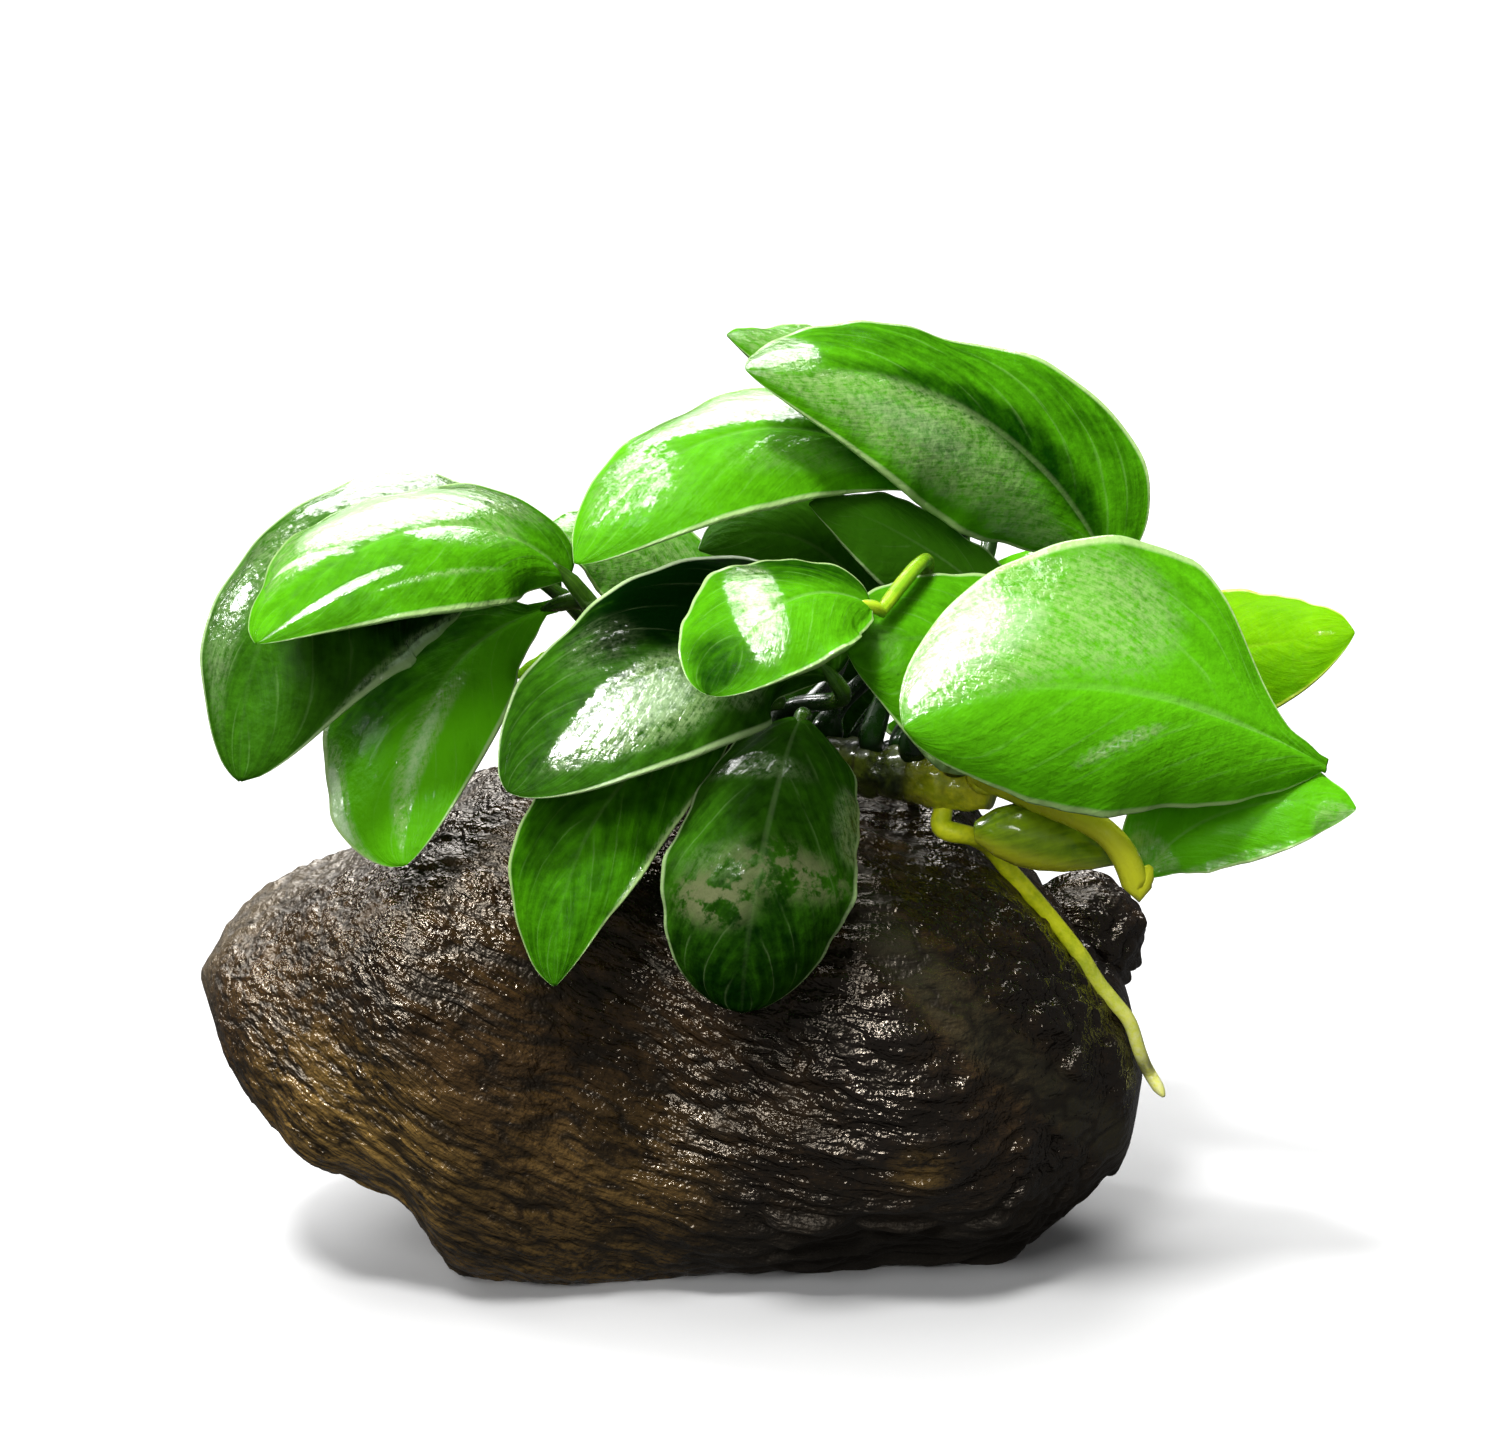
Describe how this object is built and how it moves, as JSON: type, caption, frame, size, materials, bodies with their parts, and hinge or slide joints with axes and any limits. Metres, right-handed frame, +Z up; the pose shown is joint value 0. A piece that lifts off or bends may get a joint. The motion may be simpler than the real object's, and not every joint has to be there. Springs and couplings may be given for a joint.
{
  "type": "anubias on driftwood",
  "caption": "Low water plant with stiff, glossy, egg-shaped leaves on arching stalks, its creeping rhizome and roots grown onto a rounded chunk of dark driftwood.",
  "frame": {"origin": "middle of the flat the driftwood rests on, at floor height", "axes": "+X along the driftwood toward its knobbed end, the longest way; -Y the front, which the picture shows; +Z up"},
  "size_m": [0.1507, 0.0909, 0.1207],
  "materials": {
    "driftwood": "dark, waterlogged and wet, with a grained and wrinkled surface",
    "rhizome": "olive, ringed and damp",
    "bud": "glossy olive green, half-rolled young leaf",
    "root": "smooth, yellow-green turning cream",
    "leaf": "wet and glossy bright green leaf with a pale margin",
    "leaf_dark": "wet and glossy dark green leaf",
    "leaf_young": "glossy yellow-green young leaf",
    "stalk": "smooth green leaf stalk",
    "stalk_yellow": "smooth yellow-green leaf stalk"
  },
  "bodies": {
    "root": {"driftwood": "driftwood", "rhizome": "rhizome", "bud": "bud", "root_back_left": "root", "root_back_middle": "root", "root_back_right": "root", "root_long": "root", "leaf_back_low_left": "leaf", "leaf_back_low_right": "leaf", "leaf_back_middle": "leaf", "leaf_back_right": "leaf", "leaf_behind_left": "leaf", "leaf_behind_top": "leaf", "leaf_centre": "leaf_dark", "leaf_centre_low": "leaf", "leaf_centre_oval": "leaf_dark", "leaf_centre_small": "leaf", "leaf_far_left": "leaf_dark", "leaf_left_lower": "leaf", "leaf_left_upper": "leaf", "leaf_right_back": "leaf_young", "leaf_right_front": "leaf", "leaf_right_low": "leaf", "leaf_right_under": "leaf", "leaf_shaded_low": "leaf_dark", "leaf_shaded_middle": "leaf_dark", "leaf_shaded_top": "leaf_dark", "leaf_top": "leaf", "leaf_top_left": "leaf", "leaf_young": "leaf_young", "stalk_back_low_left": "stalk", "stalk_back_low_right": "stalk", "stalk_back_middle": "stalk", "stalk_back_right": "stalk", "stalk_behind_left": "stalk", "stalk_behind_top": "stalk", "stalk_centre": "stalk", "stalk_centre_low": "stalk", "stalk_centre_oval": "stalk", "stalk_centre_small": "stalk_yellow", "stalk_far_left": "stalk", "stalk_left_lower": "stalk", "stalk_left_upper": "stalk", "stalk_right_back": "stalk", "stalk_right_front": "stalk", "stalk_right_low": "stalk_yellow", "stalk_right_under": "stalk", "stalk_shaded_low": "stalk", "stalk_shaded_middle": "stalk", "stalk_shaded_top": "stalk", "stalk_top": "stalk", "stalk_top_left": "stalk", "stalk_young": "stalk_yellow"}
  },
  "joints": []
}
